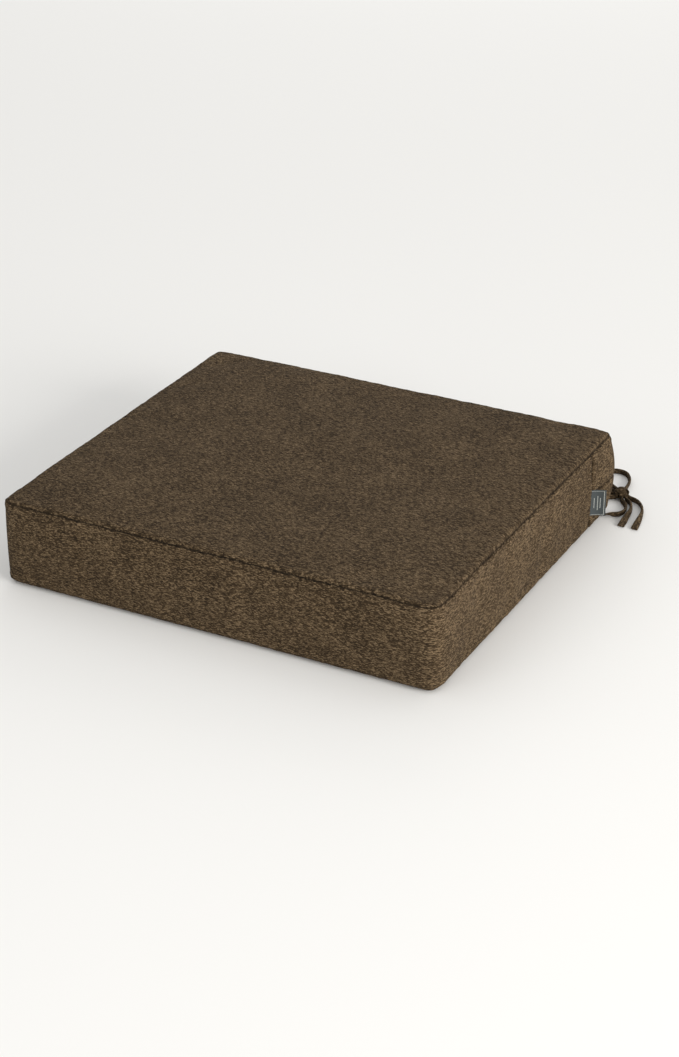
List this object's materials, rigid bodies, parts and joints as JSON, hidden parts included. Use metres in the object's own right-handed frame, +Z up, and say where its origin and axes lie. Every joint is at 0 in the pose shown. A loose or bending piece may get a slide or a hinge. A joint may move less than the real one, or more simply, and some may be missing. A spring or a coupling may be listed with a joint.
{
  "type": "chair seat pad",
  "caption": "Boxed outdoor chair seat pad: foam and wadding in a sewn cover with a rear zip, a flag label and rear corner ties in bows.",
  "frame": {"origin": "centre of the underside, on the surface that the pad lies on", "axes": "+X to the label side (right as seen from the front), +Y to the rear, where the zip and ties are, +Z up"},
  "size_m": [0.601, 0.5516, 0.102],
  "materials": {
    "cover_fabric": "heathered olefin cloth, matte",
    "tie_fabric": "folded and stitched cover cloth",
    "foam": "open cell polyurethane foam",
    "wadding": "polyester fibre wadding",
    "zip_tape": "woven polyester tape",
    "zip_coil": "nylon monofilament coil",
    "zip_metal": "die cast zinc, dark enamel",
    "label_cloth": "woven damask ribbon"
  },
  "bodies": {
    "pad": {"foam_core": "foam", "top_wadding": "wadding", "bottom_wadding": "wadding", "top_panel": "cover_fabric", "bottom_panel": "cover_fabric", "front_boxing": "cover_fabric", "rear_boxing_upper": "cover_fabric", "rear_boxing_lower": "cover_fabric", "zip_tape_upper": "zip_tape", "zip_tape_lower": "zip_tape", "zip_coil_upper": "zip_coil", "zip_coil_lower": "zip_coil", "zip_bottom_stop": "zip_metal", "zip_top_stop_upper": "zip_metal", "zip_top_stop_lower": "zip_metal", "side_label": "label_cloth", "right_tie_rear_lead": "tie_fabric", "right_tie_rear_loop": "tie_fabric", "right_tie_rear_tail": "tie_fabric", "right_tie_side_lead": "tie_fabric", "right_tie_side_loop": "tie_fabric", "right_tie_side_tail": "tie_fabric", "right_tie_knot": "tie_fabric", "left_tie_rear_lead": "tie_fabric", "left_tie_rear_loop": "tie_fabric", "left_tie_rear_tail": "tie_fabric", "left_tie_side_lead": "tie_fabric", "left_tie_side_loop": "tie_fabric", "left_tie_side_tail": "tie_fabric", "left_tie_knot": "tie_fabric"},
    "slider": {"zip_slider": "zip_metal"},
    "pull_tab": {"zip_pull_tab": "zip_metal"}
  },
  "joints": [
    {"name": "zip_slide", "type": "slide", "parent": "pad", "child": "slider", "axis": [-1, 0, 0], "range_m": [0, 0.418]},
    {"name": "pull_tab_hinge", "type": "hinge", "parent": "slider", "child": "pull_tab", "pos_m": [0.2095, 0.23141, 0.0485], "axis": [0, 0, -1], "range_deg": [0, 180]}
  ]
}
